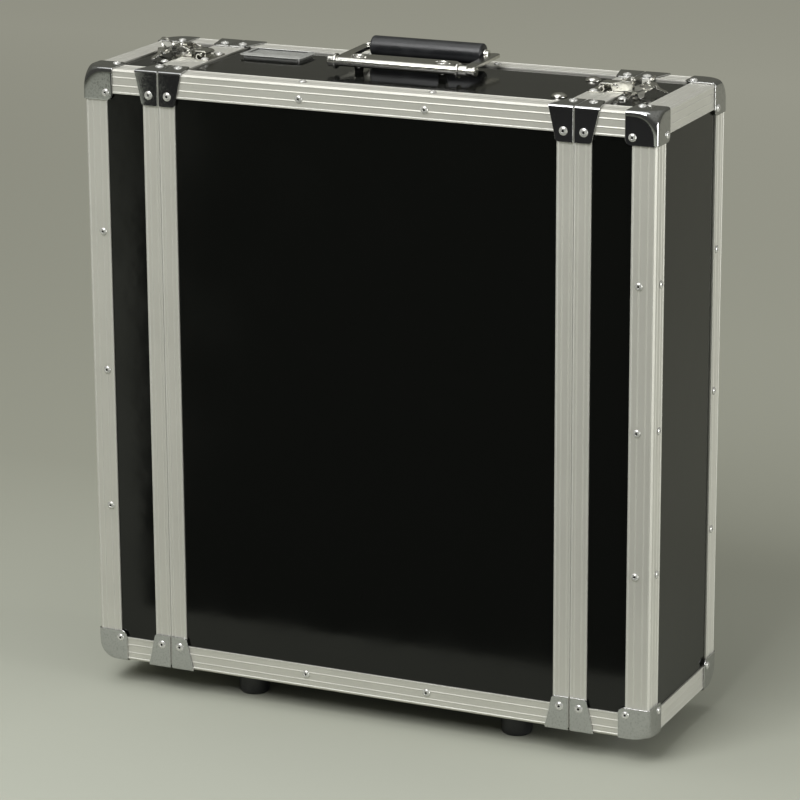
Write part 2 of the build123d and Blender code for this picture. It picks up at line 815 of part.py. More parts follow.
lid = {
    "lid_sides": lid_sides(),
    "lid_end_board": [lid_end_board()],
    "lid_lining": [lid_lining()],
    "lid_edging": lid_edge_angles() + lid_end_angles(),
    "lid_seam_frame": seam_frame(False),
    "lid_corner_caps": all_four(corner_cap()),
    "lid_brackets": brackets(1),
    "lid_rivets": lid_rivets() + both_levels(latch_rivets()),
    "latch_plates": both_levels([latch_plate()]),
    "latch_pins": both_levels(latch_pins()),
    "key_ring": both_levels([key_ring()])[1:],
    "keys": both_levels(keys())[1::2],
}
latch = {
    "latch_lever": latch_lever(),
    "latch_claw": latch_claw(),
    "claw_pin": across_latch(claw_pivot, bored(8, claw_pin_r), lever_side[1]),
}
for end, sx in (("front", 1), ("rear", -1)):
    for node, pieces in lid.items():
        save(f"{end}_{node}", *[turned(piece, sx) for piece in pieces])
    for node, piece in latch.items():
        low, high = [turned(placed, sx) for placed in both_levels([piece])]
        save(f"{end}_bottom_{node}", low)
        save(f"{end}_top_{node}", high)
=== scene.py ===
import json
import math

import bmesh
import bpy
from mathutils import Matrix, Vector

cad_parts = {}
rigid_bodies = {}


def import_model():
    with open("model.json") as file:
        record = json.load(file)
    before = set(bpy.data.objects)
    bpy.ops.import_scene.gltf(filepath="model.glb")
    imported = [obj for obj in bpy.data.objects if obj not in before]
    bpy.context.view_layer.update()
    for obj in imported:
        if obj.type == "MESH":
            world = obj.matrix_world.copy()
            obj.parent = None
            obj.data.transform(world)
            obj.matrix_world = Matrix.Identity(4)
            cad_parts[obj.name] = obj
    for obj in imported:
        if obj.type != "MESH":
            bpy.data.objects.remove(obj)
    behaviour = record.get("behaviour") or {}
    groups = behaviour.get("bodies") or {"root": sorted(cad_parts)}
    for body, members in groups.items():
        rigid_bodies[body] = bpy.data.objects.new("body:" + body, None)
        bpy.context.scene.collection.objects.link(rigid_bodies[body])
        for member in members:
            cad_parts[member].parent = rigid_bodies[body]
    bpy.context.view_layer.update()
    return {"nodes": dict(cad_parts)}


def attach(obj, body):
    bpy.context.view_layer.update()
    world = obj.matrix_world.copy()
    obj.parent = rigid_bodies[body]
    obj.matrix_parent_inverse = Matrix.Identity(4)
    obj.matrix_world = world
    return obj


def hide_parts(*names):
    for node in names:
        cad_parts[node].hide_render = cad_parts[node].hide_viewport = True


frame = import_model()

# Boards
# Birch plywood faced with black high-pressure laminate, sawn to size. They are held in
# the aluminium edging, with only their laminated outer faces to be seen.


def linear(text):
    """Colour of a hex string as Blender's linear values."""
    values = [int(text[i:i + 2], 16) / 255 for i in (1, 3, 5)]
    return [v / 12.92 if v < 0.04045 else ((v + 0.055) / 1.055) ** 2.4 for v in values] + [1]


def add_node(tree, kind, inputs=None, **settings):
    """One shader node with its settings, and its inputs as values or as links."""
    made = tree.nodes.new(kind)
    for name, value in settings.items():
        setattr(made, name, value)
    for name, value in (inputs or {}).items():
        if isinstance(value, bpy.types.NodeSocket):
            tree.links.new(value, made.inputs[name])
        else:
            made.inputs[name].default_value = value
    return made


def new_material(name):
    """Empty material with a principled shader, returned with its tree and shader."""
    material = bpy.data.materials.new(name)
    material.use_nodes = True
    tree = material.node_tree
    return material, tree, tree.nodes["Principled BSDF"]


def noise_at(tree, size_mm, detail=2.0, stretch=(1, 1, 1)):
    """Noise whose grains are about that many millimetres across."""
    place = add_node(tree, "ShaderNodeTexCoord").outputs["Object"]
    drawn = add_node(tree, "ShaderNodeMapping", {"Vector": place, "Scale": stretch})
    made = add_node(tree, "ShaderNodeTexNoise", {
        "Vector": drawn.outputs["Vector"], "Scale": 1000 / size_mm, "Detail": detail})
    return made.outputs["Fac"]


def remap(tree, value, low, high, to_low, to_high):
    """A value between two limits, brought between two others."""
    made = add_node(tree, "ShaderNodeMapRange", {
        "Value": value, "From Min": low, "From Max": high, "To Min": to_low, "To Max": to_high})
    return made.outputs["Result"]


def blend_of(tree, factor, first, second):
    """Colour between two, each a hex string or a socket."""
    pair = [linear(c) if isinstance(c, str) else c for c in (first, second)]
    made = tree.nodes.new("ShaderNodeMix")
    made.data_type = "RGBA"
    tree.links.new(factor, made.inputs["Factor"])
    for socket, colour in zip((made.inputs[6], made.inputs[7]), pair):
        if isinstance(colour, bpy.types.NodeSocket):
            tree.links.new(colour, socket)
        else:
            socket.default_value = colour
    return made.outputs[2]


def surface(tree, shader, colour=None, roughness=None, height=None, depth_mm=0.1,
            strength=1.0, normal=None):
    """Links colour, roughness and bump into the shader where they are given."""
    if colour:
        tree.links.new(colour, shader.inputs["Base Color"])
    if roughness:
        tree.links.new(roughness, shader.inputs["Roughness"])
    if height:
        bump = add_node(tree, "ShaderNodeBump", {
            "Height": height, "Strength": strength, "Distance": depth_mm / 1000})
        if normal:
            tree.links.new(normal, bump.inputs["Normal"])
        normal = bump.outputs["Normal"]
    if normal:
        tree.links.new(normal, shader.inputs["Normal"])


def dress(material, *names):
    """Gives CAD nodes this material."""
    for name in names:
        for slot in frame["nodes"][name].material_slots:
            slot.material = material


# High-pressure laminate, pressed against a polished plate: near black, with a soft gloss
# whose reflections waver a little, a few rubbed clouds that scatter more, and fine dust.
laminate, tree, shader = new_material("black_high_pressure_laminate")
rubbed = remap(tree, noise_at(tree, 90, 3), 0.35, 0.75, 0.07, 0.16)
dust = remap(tree, noise_at(tree, 1.4), 0.70, 0.80, 0, 1)
surface(tree, shader, blend_of(tree, dust, "#0B0C0A", "#1C1D19"), rubbed,
        noise_at(tree, 22), 2.0, 0.035)
shader.inputs["IOR"].default_value = 1.46
dress(laminate, "body_board_near", "body_board_far", "body_board_top", "body_board_bottom",
      "front_lid_sides", "rear_lid_sides", "front_lid_end_board", "rear_lid_end_board")

# Lid linings
# Sheets of dark polyether foam, cut from a block and glued to the inside of the end
# boards, where they keep the equipment from knocking.

# Open-cell foam: matt, with pits of about 1.2 mm all over it.
foam, tree, shader = new_material("charcoal_open_cell_foam")
cells = add_node(tree, "ShaderNodeTexVoronoi", {
    "Vector": add_node(tree, "ShaderNodeTexCoord").outputs["Object"], "Scale": 1000 / 1.2})
pits = cells.outputs["Distance"]
# The colour follows the pit depth: darker at each pit's bottom, painted shade in the hollows.
surface(tree, shader, blend_of(tree, pits, "#1B1B1D", "#3A3A3C"), None, pits, 0.6, 0.6)
shader.inputs["Roughness"].default_value = 0.95
dress(foam, "front_lid_lining", "rear_lid_lining")

# Edging and seam frames
# Extruded aluminium angles and tongued strips with fine ribs along them, satin anodised,
# mitred at the corners and riveted through the boards.


def worn_edge(tree, radius_mm):
    """The normal rounded over the edges, and a mask that is 1 along them."""
    rounded = add_node(tree, "ShaderNodeBevel", {"Radius": radius_mm / 1000}, samples=4)
    flat = add_node(tree, "ShaderNodeNewGeometry")
    dot = add_node(tree, "ShaderNodeVectorMath", operation="DOT_PRODUCT")
    tree.links.new(rounded.outputs["Normal"], dot.inputs[0])
    tree.links.new(flat.outputs["Normal"], dot.inputs[1])
    return rounded.outputs["Normal"], remap(tree, dot.outputs["Value"], 0.995, 0.90, 0, 1)


# Satin anodised aluminium: an even, pale, slightly warm metal. Etching leaves a fine
# grain, and handling polishes the ribs and arrises brighter than the flats.
satin, tree, shader = new_material("satin_anodised_aluminium")
round_normal, edge = worn_edge(tree, 0.5)
patch = blend_of(tree, noise_at(tree, 60), "#C9C8BF", "#D6D5CC")
scratch = remap(tree, noise_at(tree, 1.4, 3), 0.64, 0.80, 0, 1)
tone = blend_of(tree, edge, patch, "#F0F0EA")
grain = noise_at(tree, 0.5)
surface(tree, shader, blend_of(tree, scratch, tone, "#BFBEB5"),
        remap(tree, grain, 0.3, 0.7, 0.40, 0.50), grain, 0.2, 0.12, round_normal)
shader.inputs["Metallic"].default_value = 0.5
dress(satin, "body_edge_angles", "body_seam_frames", "front_lid_edging", "rear_lid_edging",
      "front_lid_seam_frame", "rear_lid_seam_frame")

# Corner caps
# One piece of steel sheet pressed over each corner, chromed. Three square flaps meet in a
# large round tip, and a rivet holds each flap.
half_x, half_y, half_z = 259.0, 80.0, 265.0
ground_drop = 290.0
cap_sheet = 1.2
cap_leg = 27.0
cap_core = 20.0
cap_ball = (cap_core + cap_sheet) * math.sqrt(2)
cap_lobe = 5.5
cap_sharpness = 30
cap_clear = 0.05
arc_steps = (15, 30, 45, 60, 75)


def begin(kind, **settings):
    """A primitive added alone, in millimetres, with its place in its mesh."""
    bpy.ops.object.select_all(action="DESELECT")
    getattr(bpy.ops.mesh, f"primitive_{kind}_add")(**settings)
    bpy.ops.object.transform_apply(location=True, rotation=True, scale=True)
    return bpy.context.object


def edit(piece, kind="FACE"):
    """Opens one piece in edit mode with nothing selected."""
    bpy.ops.object.select_all(action="DESELECT")
    piece.select_set(True)
    bpy.context.view_layer.objects.active = piece
    bpy.ops.object.mode_set(mode="EDIT")
    bpy.ops.mesh.select_mode(type=kind)
    bpy.ops.mesh.select_all(action="DESELECT")


def choose(test):
    """Selects the faces or edges whose middle, and normal or direction, pass the test."""
    data = bpy.context.object.data
    mesh = bmesh.from_edit_mesh(data)
    if bpy.context.tool_settings.mesh_select_mode[2]:
        for face in mesh.faces:
            face.select_set(bool(test(face.calc_center_median(), face.normal)))
    else:
        for edge_line in mesh.edges:
            a, b = (vertex.co for vertex in edge_line.verts)
            edge_line.select_set(bool(test((a + b) / 2, (b - a).normalized())))
    mesh.select_flush_mode()
    bmesh.update_edit_mesh(data)


def close():
    """Back to object mode."""
    bpy.ops.object.mode_set(mode="OBJECT")


def modify(piece, kind, **settings):
    """Adds one modifier and applies it."""
    bpy.ops.object.select_all(action="DESELECT")
    piece.select_set(True)
    bpy.context.view_layer.objects.active = piece
    made = piece.modifiers.new(kind.lower(), kind)
    for name, value in settings.items():
        setattr(made, name, value)
    bpy.ops.object.modifier_apply(modifier=made.name)


def soften(piece, width, segments=2, angle=30):
    """Rounds every edge that is sharper than the angle."""
    modify(piece, "BEVEL", width=width, segments=segments, limit_method="ANGLE",
           angle_limit=math.radians(angle), harden_normals=False)


def copied(piece, matrix):
    """A copy with its own mesh, moved, turned or mirrored."""
    made = piece.copy()
    made.data = piece.data.copy()
    bpy.context.collection.objects.link(made)
    made.data.transform(matrix)
    if matrix.determinant() < 0:
        made.data.flip_normals()
    return made


def mirrored(piece, *signs):
    """A copy in another quarter of the case, one for each row of signs."""
    return [copied(piece, Matrix.Diagonal((*row, 1))) for row in signs]


def joined(name, pieces):
    """Several pieces made into one object."""
    bpy.ops.object.select_all(action="DESELECT")
    for piece in pieces:
        piece.select_set(True)
    bpy.context.view_layer.objects.active = pieces[0]
    if len(pieces) > 1:
        bpy.ops.object.join()
    pieces[0].name = pieces[0].data.name = name
    return pieces[0]


def settle(piece, name, materials, body, slot, *nodes, angle=35):
    """Brings a piece made in millimetres into the frame, names it, gives it its materials, hides
    the CAD nodes it stands for and hangs it on its body.
    """
    piece.name = piece.data.name = name
    edit(piece)
    bpy.ops.mesh.select_all(action="SELECT")
    bpy.ops.mesh.remove_doubles(threshold=0.004)
    bpy.ops.mesh.normals_make_consistent(inside=False)
    close()
    piece.data.transform(Matrix.Translation((0, 0, ground_drop / 1000)) @ Matrix.Scale(0.001, 4))
    bpy.ops.object.shade_smooth_by_angle(angle=math.radians(angle))
    modify(piece, "WEIGHTED_NORMAL", mode="FACE_AREA", weight=90, keep_sharp=True)
    if not piece.data.materials:
        for material in materials:
            piece.data.materials.append(material)
    else:
        for place, material in enumerate(materials):
            piece.data.materials[place] = material
    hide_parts(*nodes)
    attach(piece, body)
    return piece


def trim(point, normal):
    """Cuts the selected faces at a plane and drops what lies outside it."""
    bpy.ops.mesh.bisect(plane_co=point, plane_no=normal, clear_outer=True, clear_inner=False)


# Chrome on pressed steel: mirror bright, with a little unevenness from the press that
# breaks up its reflections, and fine rubbing where straps and floors touch it.
chrome, tree, shader = new_material("chromed_pressed_steel")
round_normal, edge = worn_edge(tree, 0.35)
scuff = noise_at(tree, 1.6, 3)
tone = blend_of(tree, remap(tree, scuff, 0.5, 0.75, 0, 1), "#C4C5C6", "#A9AAAA")
surface(tree, shader, blend_of(tree, edge, tone, "#E8E8E6"),
        remap(tree, scuff, 0.45, 0.8, 0.04, 0.15), noise_at(tree, 16, 1), 1.0, 0.05, round_normal)
shader.inputs["Metallic"].default_value = 1.0

cap = begin("cube", size=cap_leg + cap_sheet, location=((cap_sheet - cap_leg) / 2,) * 3)
edit(cap)
choose(lambda place, out: min(out) < -0.5)
bpy.ops.mesh.delete(type="FACE")
bpy.ops.mesh.select_all(action="SELECT")
bpy.ops.mesh.subdivide(number_cuts=19)
for axis in range(3):
    first, second = [other for other in range(3) if other != axis]
    for degrees in arc_steps:
        turn = math.radians(degrees)
        out = [0.0, 0.0, 0.0]
        out[first], out[second] = -math.cos(turn), -math.sin(turn)
        point = [cap_sheet] * 3
        point[first] = cap_lobe - cap_leg + cap_lobe * out[first]
        point[second] = cap_lobe - cap_leg + cap_lobe * out[second]
        choose(lambda place, face_out: face_out[axis] > 0.9)
        trim(point, out)
close()
flat_reach = cap_core + cap_sheet
for vertex in cap.data.vertices:
    core = Vector([min(c, -cap_core) for c in vertex.co])
    out = vertex.co - core
    hug = sum((max(c, 0) / flat_reach) ** cap_sharpness for c in out)
    hug += (out.length / cap_ball) ** cap_sharpness
    vertex.co = core + out / hug ** (1 / cap_sharpness)
modify(cap, "SOLIDIFY", thickness=cap_sheet - cap_clear, offset=-1, use_even_offset=True)
soften(cap, 0.3, angle=60)
cap.data.transform(Matrix.Translation((half_x, half_y, half_z)))
quarters = [(1, sy, sz) for sy in (-1, 1) for sz in (-1, 1)]
rear_quarters = [(-1, sy, sz) for sy in (-1, 1) for sz in (-1, 1)]
for lid, rows in (("front_lid", quarters), ("rear_lid", rear_quarters)):
    caps = joined("caps", mirrored(cap, *rows))
    settle(caps, f"{lid}_pressed_corner_caps", [chrome], lid, "chromed_sheet",
           f"{lid}_corner_caps")
bpy.data.objects.remove(cap)

# Seam brackets
# Pairs of chromed steel plates folded over the long edges, one half on each side of a
# seam, waisted to clear the next rivets. They keep the seam's corners from spreading.
seam_x = 188.25
bracket_sheet = 1.4
bracket_gap = 0.75
bracket_side = 22.0
bracket_waist = (17.3, 20.5)
bracket_end = (15.8, 28.7)
bracket_bend = 2.0
bracket_lobe = 4.0
bracket_clear = 0.04

leg = bracket_end[1] + bracket_sheet
leg_middle = (bracket_sheet - bracket_end[1]) / 2
bracket = begin("cube", size=1, scale=(bracket_side - bracket_gap, leg, leg),
                location=((bracket_side + bracket_gap) / 2, leg_middle, leg_middle))
edit(bracket)
choose(lambda place, out: max(out.y, out.z) < 0.5)
bpy.ops.mesh.delete(type="FACE")
bpy.ops.mesh.select_mode(type="EDGE")
choose(lambda place, line: place.y > 1 and place.z > 1 and abs(line.x) > 0.9)
bpy.ops.mesh.bevel(offset=bracket_bend, segments=7, affect="EDGES")
bpy.ops.mesh.select_mode(type="FACE")
waist_x, waist_z = bracket_waist
end_x, end_z = bracket_end
side_out = Vector((waist_z, 0, waist_x - bracket_side)).normalized()
end_out = Vector((end_z - waist_z, 0, end_x - waist_x)).normalized()
end_turn = math.atan2(end_out.z, end_out.x)
lobe_z = bracket_lobe - end_z
lobe_x = (end_out.dot((end_x, 0, -end_z)) - bracket_lobe - end_out.z * lobe_z) / end_out.x


def on_flap(down, x, z):
    """Vector from its part across the seam and its part along the flap that runs down."""
    made = [x, 0.0, 0.0]
    made[down] = z
    return Vector(made)


for down in (2, 1):
    other = 3 - down
    choose(lambda place, out: out[other] > 0.05)
    trim(on_flap(down, bracket_side, 0), on_flap(down, side_out.x, side_out.z))
    choose(lambda place, out: out[other] > 0.9)
    bpy.ops.mesh.bisect(plane_co=on_flap(down, 0, -waist_z), plane_no=on_flap(down, 0, 1))
    choose(lambda place, out: out[other] > 0.9 and place[down] < -waist_z)
    trim(on_flap(down, waist_x, -waist_z), on_flap(down, end_out.x, end_out.z))
    for step in (0.2, 0.4, 0.6, 0.8):
        turn = end_turn + (-math.pi / 2 - end_turn) * step
        out = on_flap(down, math.cos(turn), math.sin(turn))
        choose(lambda place, face_out: face_out[other] > 0.9 and place[down] < -waist_z)
        trim(on_flap(down, lobe_x, lobe_z) + bracket_lobe * out, out)
close()
modify(bracket, "SOLIDIFY", thickness=bracket_sheet - bracket_clear, offset=-1,
       use_even_offset=True)
soften(bracket, 0.3, angle=50)
bracket.data.transform(Matrix.Translation((0, half_y, half_z)))
to_front = Matrix.Translation((seam_x, 0, 0))
front_half = copied(bracket, to_front)
body_half = copied(mirrored(bracket, (-1, 1, 1))[0], to_front)
for body, half, rows in (("front_lid", front_half, quarters),
                         ("rear_lid", front_half, rear_quarters),
                         ("case_body", body_half, quarters + rear_quarters)):
    plates = joined("plates", mirrored(half, *rows))
    node = "body_brackets" if body == "case_body" else f"{body}_brackets"
    settle(plates, f"{body}_folded_brackets", [chrome], body, "chromed_sheet", node)

# Rivets
# Bright plated steel blind rivets, set from outside: a low dome with the hole that the
# snapped mandrel leaves in its middle. The bracket ones have a larger head.

# Clear zinc on a soft steel head: pale, half dull, brightest on the rim of the dome.
bright, tree, shader = new_material("clear_zinc_rivet")
round_normal, edge = worn_edge(tree, 0.2)
dull = remap(tree, noise_at(tree, 1.2), 0.35, 0.7, 0, 1)
surface(tree, shader, blend_of(tree, edge, blend_of(tree, dull, "#DEDEDA", "#C4C4BE"), "#F4F4F0"),
        remap(tree, dull, 0, 1, 0.16, 0.30), normal=round_normal)
shader.inputs["Metallic"].default_value = 0.55

# Broken mandrel end deep in each rivet, and the feet of the handle's cups: near-black rough iron,
# its darkness painted shade in both.
iron_and_painted_shade, tree, shader = new_material("dark_iron_painted_shade")
grit = noise_at(tree, 0.4)
surface(tree, shader, blend_of(tree, grit, "#141413", "#2E2D2A"), None, grit, 0.1, 0.5)
shader.inputs["Metallic"].default_value = 0.6
shader.inputs["Roughness"].default_value = 0.7


def turned(rings, sides=24):
    """Round piece along Z, from its rings of radius and height, closed at both ends."""
    (r, z), *others = rings
    piece = begin("circle", vertices=sides, radius=r, fill_type="NGON", location=(0, 0, z))
    edit(piece)
    bpy.ops.mesh.select_all(action="SELECT")
    for next_r, next_z in others:
        bpy.ops.mesh.extrude_region_move(TRANSFORM_OT_translate={"value": (0, 0, next_z - z)})
        bpy.ops.transform.resize(value=(next_r / r, next_r / r, 1), center_override=(0, 0, next_z))
        r, z = next_r, next_z
    close()
    return piece


def stood(piece, place, out):
    """The piece's Z axis turned to a direction, and its origin put at a place."""
    turn = Vector(out).to_track_quat("Z", "Y").to_matrix().to_4x4()
    return copied(piece, Matrix.Translation(place) @ turn)


mandrel_r = 0.95
rivet_rings = ((3.4, 0), (3.35, 0.35), (2.9, 0.85), (2.2, 1.2), (1.6, 1.29), (1.15, 1.22),
               (mandrel_r, 0.9), (0.85, 0.1))
rivet = turned(rivet_rings, 18)
rivet.data.materials.append(bright)
rivet.data.materials.append(iron_and_painted_shade)
# The hole's wall and floor take the near-black iron, painted shade in the hole around the mandrel
# end.
for face in rivet.data.polygons:
    if face.center.xy.length < mandrel_r and face.center.z > 0.05:
        face.material_index = 1
wider = 1.1
wide_rivet = copied(rivet, Matrix.Diagonal((wider, wider, 1, 1)))
bracket_rivet = (8.8, 19.75)
keeper_rivet = (-9.8, 13.5, 1.0)
wing_rivet = (21.0, 28.5, -0.5)
side_rivet_x = 57.0
top_rivet_x = 59.0
long_rivets_in = 12.5
end_rivets_in = 14.0
end_rivets_z = (-123.0, 0.0, 123.0)
cap_rivet = 20.5


def bracket_rivets(side):
    """The two rivets of one bracket, on its own side of the front seam."""
    x = seam_x + side * bracket_rivet[0]
    return [stood(wide_rivet, (x, half_y + bracket_sheet, half_z - bracket_rivet[1]), (0, 1, 0)),
            stood(wide_rivet, (x, half_y - bracket_rivet[1], half_z + bracket_sheet), (0, 0, 1))]


body_heads = []
for piece in bracket_rivets(-1):
    body_heads += mirrored(piece, *quarters, *rear_quarters)
for place, out in (
        ((side_rivet_x, half_y, half_z - long_rivets_in), (0, 1, 0)),
        ((top_rivet_x, half_y - long_rivets_in, half_z), (0, 0, 1)),
        ((seam_x + keeper_rivet[0], keeper_rivet[1], half_z + keeper_rivet[2]), (0, 0, 1))):
    body_heads += mirrored(stood(rivet, place, out), *quarters, *rear_quarters)
settle(joined("heads", body_heads), "body_blind_rivets", [bright, iron_and_painted_shade], "case_body",
       "bright_rivets", "body_rivets")

lid_heads = []
for piece in bracket_rivets(1):
    lid_heads += mirrored(piece, *quarters)
for axis in range(3):
    place = [half_x - cap_rivet, half_y - cap_rivet, half_z - cap_rivet]
    place[axis] += cap_rivet + cap_sheet
    out = [0, 0, 0]
    out[axis] = 1
    lid_heads += mirrored(stood(rivet, place, out), *quarters)
for z in end_rivets_z:
    for place, out in (((half_x - end_rivets_in, half_y, z), (0, 1, 0)),
                       ((half_x, half_y - end_rivets_in, z), (1, 0, 0))):
        lid_heads += mirrored(stood(rivet, place, out), (1, 1, 1), (1, -1, 1))
wing_place = (seam_x + wing_rivet[0], wing_rivet[1], half_z + wing_rivet[2])
lid_heads += mirrored(stood(rivet, wing_place, (0, 0, 1)), *quarters)
front_heads = joined("heads", lid_heads)
rear_heads = mirrored(front_heads, (-1, 1, 1))[0]
settle(front_heads, "front_lid_blind_rivets", [bright, iron_and_painted_shade], "front_lid", "bright_rivets",
       "front_lid_rivets")
settle(rear_heads, "rear_lid_blind_rivets", [bright, iron_and_painted_shade], "rear_lid", "bright_rivets",
       "rear_lid_rivets")

# Rack rails and their bolts
# Folded zinc-plated rails inside the top and bottom boards, with rows of holes for the
# panels, each held by two domed bolts from outside with nuts inside.

# Zinc plate: grey metal with pale spangled patches and dull streaks.
zinc, tree, shader = new_material("zinc_plated_steel")
round_normal, edge = worn_edge(tree, 0.3)
spangle = noise_at(tree, 5, 3)
tone = blend_of(tree, remap(tree, spangle, 0.35, 0.7, 0, 1), "#A8ABAC", "#C2C3C0")
surface(tree, shader, blend_of(tree, edge, tone, "#DCDCD8"),
        remap(tree, spangle, 0.3, 0.8, 0.24, 0.46), noise_at(tree, 0.6), 0.1, 0.3, round_normal)
shader.inputs["Metallic"].default_value = 1.0
dress(zinc, "rack_rail_top", "rack_rail_bottom", "rail_nuts")

# Bright nickel plate: a warm mirror, clouded a little by handling.
nickel, tree, shader = new_material("bright_nickel_plate")
round_normal, edge = worn_edge(tree, 0.2)
cloud = noise_at(tree, 3, 3)
tone = blend_of(tree, remap(tree, cloud, 0.4, 0.7, 0, 1), "#DDDCD6", "#C6C5BE")
surface(tree, shader, blend_of(tree, edge, tone, "#F2F1EC"),
        remap(tree, cloud, 0.3, 0.8, 0.08, 0.26), noise_at(tree, 5, 2), 0.3, 0.12, round_normal)
shader.inputs["Metallic"].default_value = 1.0

bolt_rings = ((3.0, -17.5), (3.0, -0.1), (6.2, -0.05), (6.5, 0.25), (6.45, 0.8), (6.1, 1.5),
              (5.3, 2.3), (4.1, 2.9), (2.7, 3.25), (1.2, 3.4))
bolt_x, bolt_y = 158.0, 38.0
face_z = half_z - 1.5
bolt = turned(bolt_rings, 32)
bolts = [stood(bolt, (bolt_x, sy * bolt_y, face_z), (0, 0, 1)) for sy in (-1, 1)]
bolts += mirrored(bolts[0], (1, 1, -1)) + mirrored(bolts[1], (1, 1, -1))
settle(joined("bolts", bolts), "rail_dome_bolts", [nickel], "case_body", "bright_rivets",
       "rail_bolts")

# Bare plate
# A cast zinc plate on the top board, chromed and left empty, its field brushed inside a
# raised border. It is glued down.

# Brushed plated metal: fine lines about 0.4 mm apart along the plate, on a bright ground.
brushed, tree, shader = new_material("brushed_plated_zinc")
round_normal, edge = worn_edge(tree, 0.4)
lines = noise_at(tree, 0.4, 2, (0.03, 1, 1))
surface(tree, shader, blend_of(tree, edge, blend_of(tree, lines, "#B4B5B2", "#D2D3CF"), "#EEEEEA"),
        remap(tree, lines, 0.3, 0.7, 0.22, 0.40), lines, 0.05, 0.4, round_normal)
shader.inputs["Metallic"].default_value = 0.55

tag_size = (54.0, 29.0, 3.4)
tag_place = (-131.5, 32.5)
tag_corner = 3.0
tag_bevel = 1.3
tag_border = 2.2
tag_recess = 0.6
tag_high = face_z + 3.0
tag = begin("cube", size=1, scale=tag_size, location=(*tag_place, face_z + tag_size[2] / 2))
edit(tag, "EDGE")
choose(lambda place, line: abs(line.z) > 0.9)
bpy.ops.mesh.bevel(offset=tag_corner, segments=5, affect="EDGES")
choose(lambda place, line: abs(line.z) < 0.1 and place.z > tag_high)
bpy.ops.mesh.bevel(offset=tag_bevel, segments=3, affect="EDGES")
bpy.ops.mesh.select_mode(type="FACE")
choose(lambda place, out: out.z > 0.9 and place.z > tag_high)
bpy.ops.mesh.inset(thickness=tag_border)
bpy.ops.mesh.inset(thickness=0.5, depth=-tag_recess)
close()
settle(tag, "bare_cast_plate", [brushed], "case_body", "silver_plate", "bare_name_plate")

# Rubber feet
# Moulded rubber, tapered and hollow from below, each held by a screw with a wide head up
# into the bottom board.

# Black moulded rubber: matt and a little grey where it is touched, with the fine grain
# of a blasted mould.
rubber, tree, shader = new_material("black_moulded_rubber")
round_normal, edge = worn_edge(tree, 0.6)
bloom = remap(tree, noise_at(tree, 12, 3), 0.4, 0.7, 0, 1)
skin = blend_of(tree, bloom, "#1E1F21", "#2A2B2D")
grain = noise_at(tree, 0.7)
surface(tree, shader, blend_of(tree, edge, skin, "#38393A"),
        remap(tree, bloom, 0, 1, 0.28, 0.42), grain, 0.12, 0.35, round_normal)
shader.inputs["IOR"].default_value = 1.52

foot_rings = ((13.4, 0), (15.6, 0.2), (15.6, 2.6), (15.1, 3.2), (14.2, 14), (13.5, 23.4),
              (12.9, 25.2), (11.8, 26.3), (10.4, 26.5), (6.6, 26.5), (6.0, 26.1), (5.6, 13.0),
              (2.6, 12.5))
foot = turned(foot_rings, 40)
foot_screw = turned(((2.5, 0), (2.5, 12.5), (4.6, 12.55), (4.5, 13.8), (3.8, 15.0), (2.6, 15.5),
                     (1.5, 15.5), (1.3, 14.2)), 24)
foot_x, foot_y = 125.5, 43.0
feet = []
screws = []
for sx in (-1, 1):
    for sy in (-1, 1):
        under = (sx * foot_x, sy * foot_y, -face_z)
        feet.append(stood(foot, under, (0, 0, -1)))
        screws.append(stood(foot_screw, under, (0, 0, -1)))
settle(joined("feet", feet), "moulded_feet", [rubber], "case_body", "black_rubber", "rubber_feet")
settle(joined("screws", screws), "foot_pan_screws", [zinc], "case_body", "zinc_screws",
       "foot_screws")

# Handle base
# Bright plated steel strip rolled into a tube along its front edge, with two cups drawn
# down to the board and a screw in each.
handle_y = -11.0
hinge_z = half_z + 8.0
tube_r = 4.1
tube_half = 54.8
tube_shift = 1.2
strap_half = 50.0
cup_x = 38.5
cup_y = -3.5
cup_stretch = 1.4
cup_shade_height = 4.0

tube_long = 2 * tube_half
tube = turned(((3.1, 0), (3.1, tube_long), (3.9, tube_long), (tube_r, tube_long - 0.2),
               (tube_r, 0.2), (3.9, 0)), 32)
edit(tube)
choose(lambda place, out: place.xy.length < 0.5)
bpy.ops.mesh.delete(type="FACE")
bpy.ops.mesh.select_mode(type="EDGE")
choose(lambda place, line: place.z < 0.1 and place.xy.length < 4.0)
bpy.ops.mesh.bridge_edge_loops()
close()
tube = stood(tube, (tube_shift - tube_half, handle_y, hinge_z), (1, 0, 0))
strap_top = hinge_z + tube_r
strap_back = 8.0
strap = begin("cube", size=1, scale=(2 * strap_half, strap_back - handle_y, 1.2),
              location=(tube_shift, (strap_back + handle_y) / 2, strap_top - 0.65))
edit(strap, "EDGE")
choose(lambda place, line: abs(line.z) > 0.9 and place.y > 0)
bpy.ops.mesh.bevel(offset=6.0, segments=8, affect="EDGES")
close()
soften(strap, 0.3)
depth = strap_top - face_z
cup = turned(((2.6, 0), (3.0, 4), (5.0, depth - 2.0), (5.7, depth - 1.2), (5.7, depth + 0.3),
              (5.5, depth + 0.45), (5.2, depth + 0.45), (5.0, depth + 0.2), (4.7, depth - 2.0),
              (2.4, 3.5), (2.2, 1.2)), 40)
for piece in (tube, strap, cup):
    piece.data.materials.append(nickel)
# The lowest 4 mm of each cup, under the strap, gets the near-black iron as painted shade, not as
# another metal.
cup.data.materials.append(iron_and_painted_shade)
for face in cup.data.polygons:
    face.material_index = int(face.center.z < cup_shade_height)
cups = [copied(cup, Matrix.Translation((tube_shift + sx * cup_x, cup_y, face_z))
               @ Matrix.Diagonal((cup_stretch, 1, 1, 1))) for sx in (-1, 1)]
settle(joined("base", [tube, strap, *cups]), "rolled_handle_base", [nickel, iron_and_painted_shade], "case_body",
       "bright_handle_steel", "handle_base")

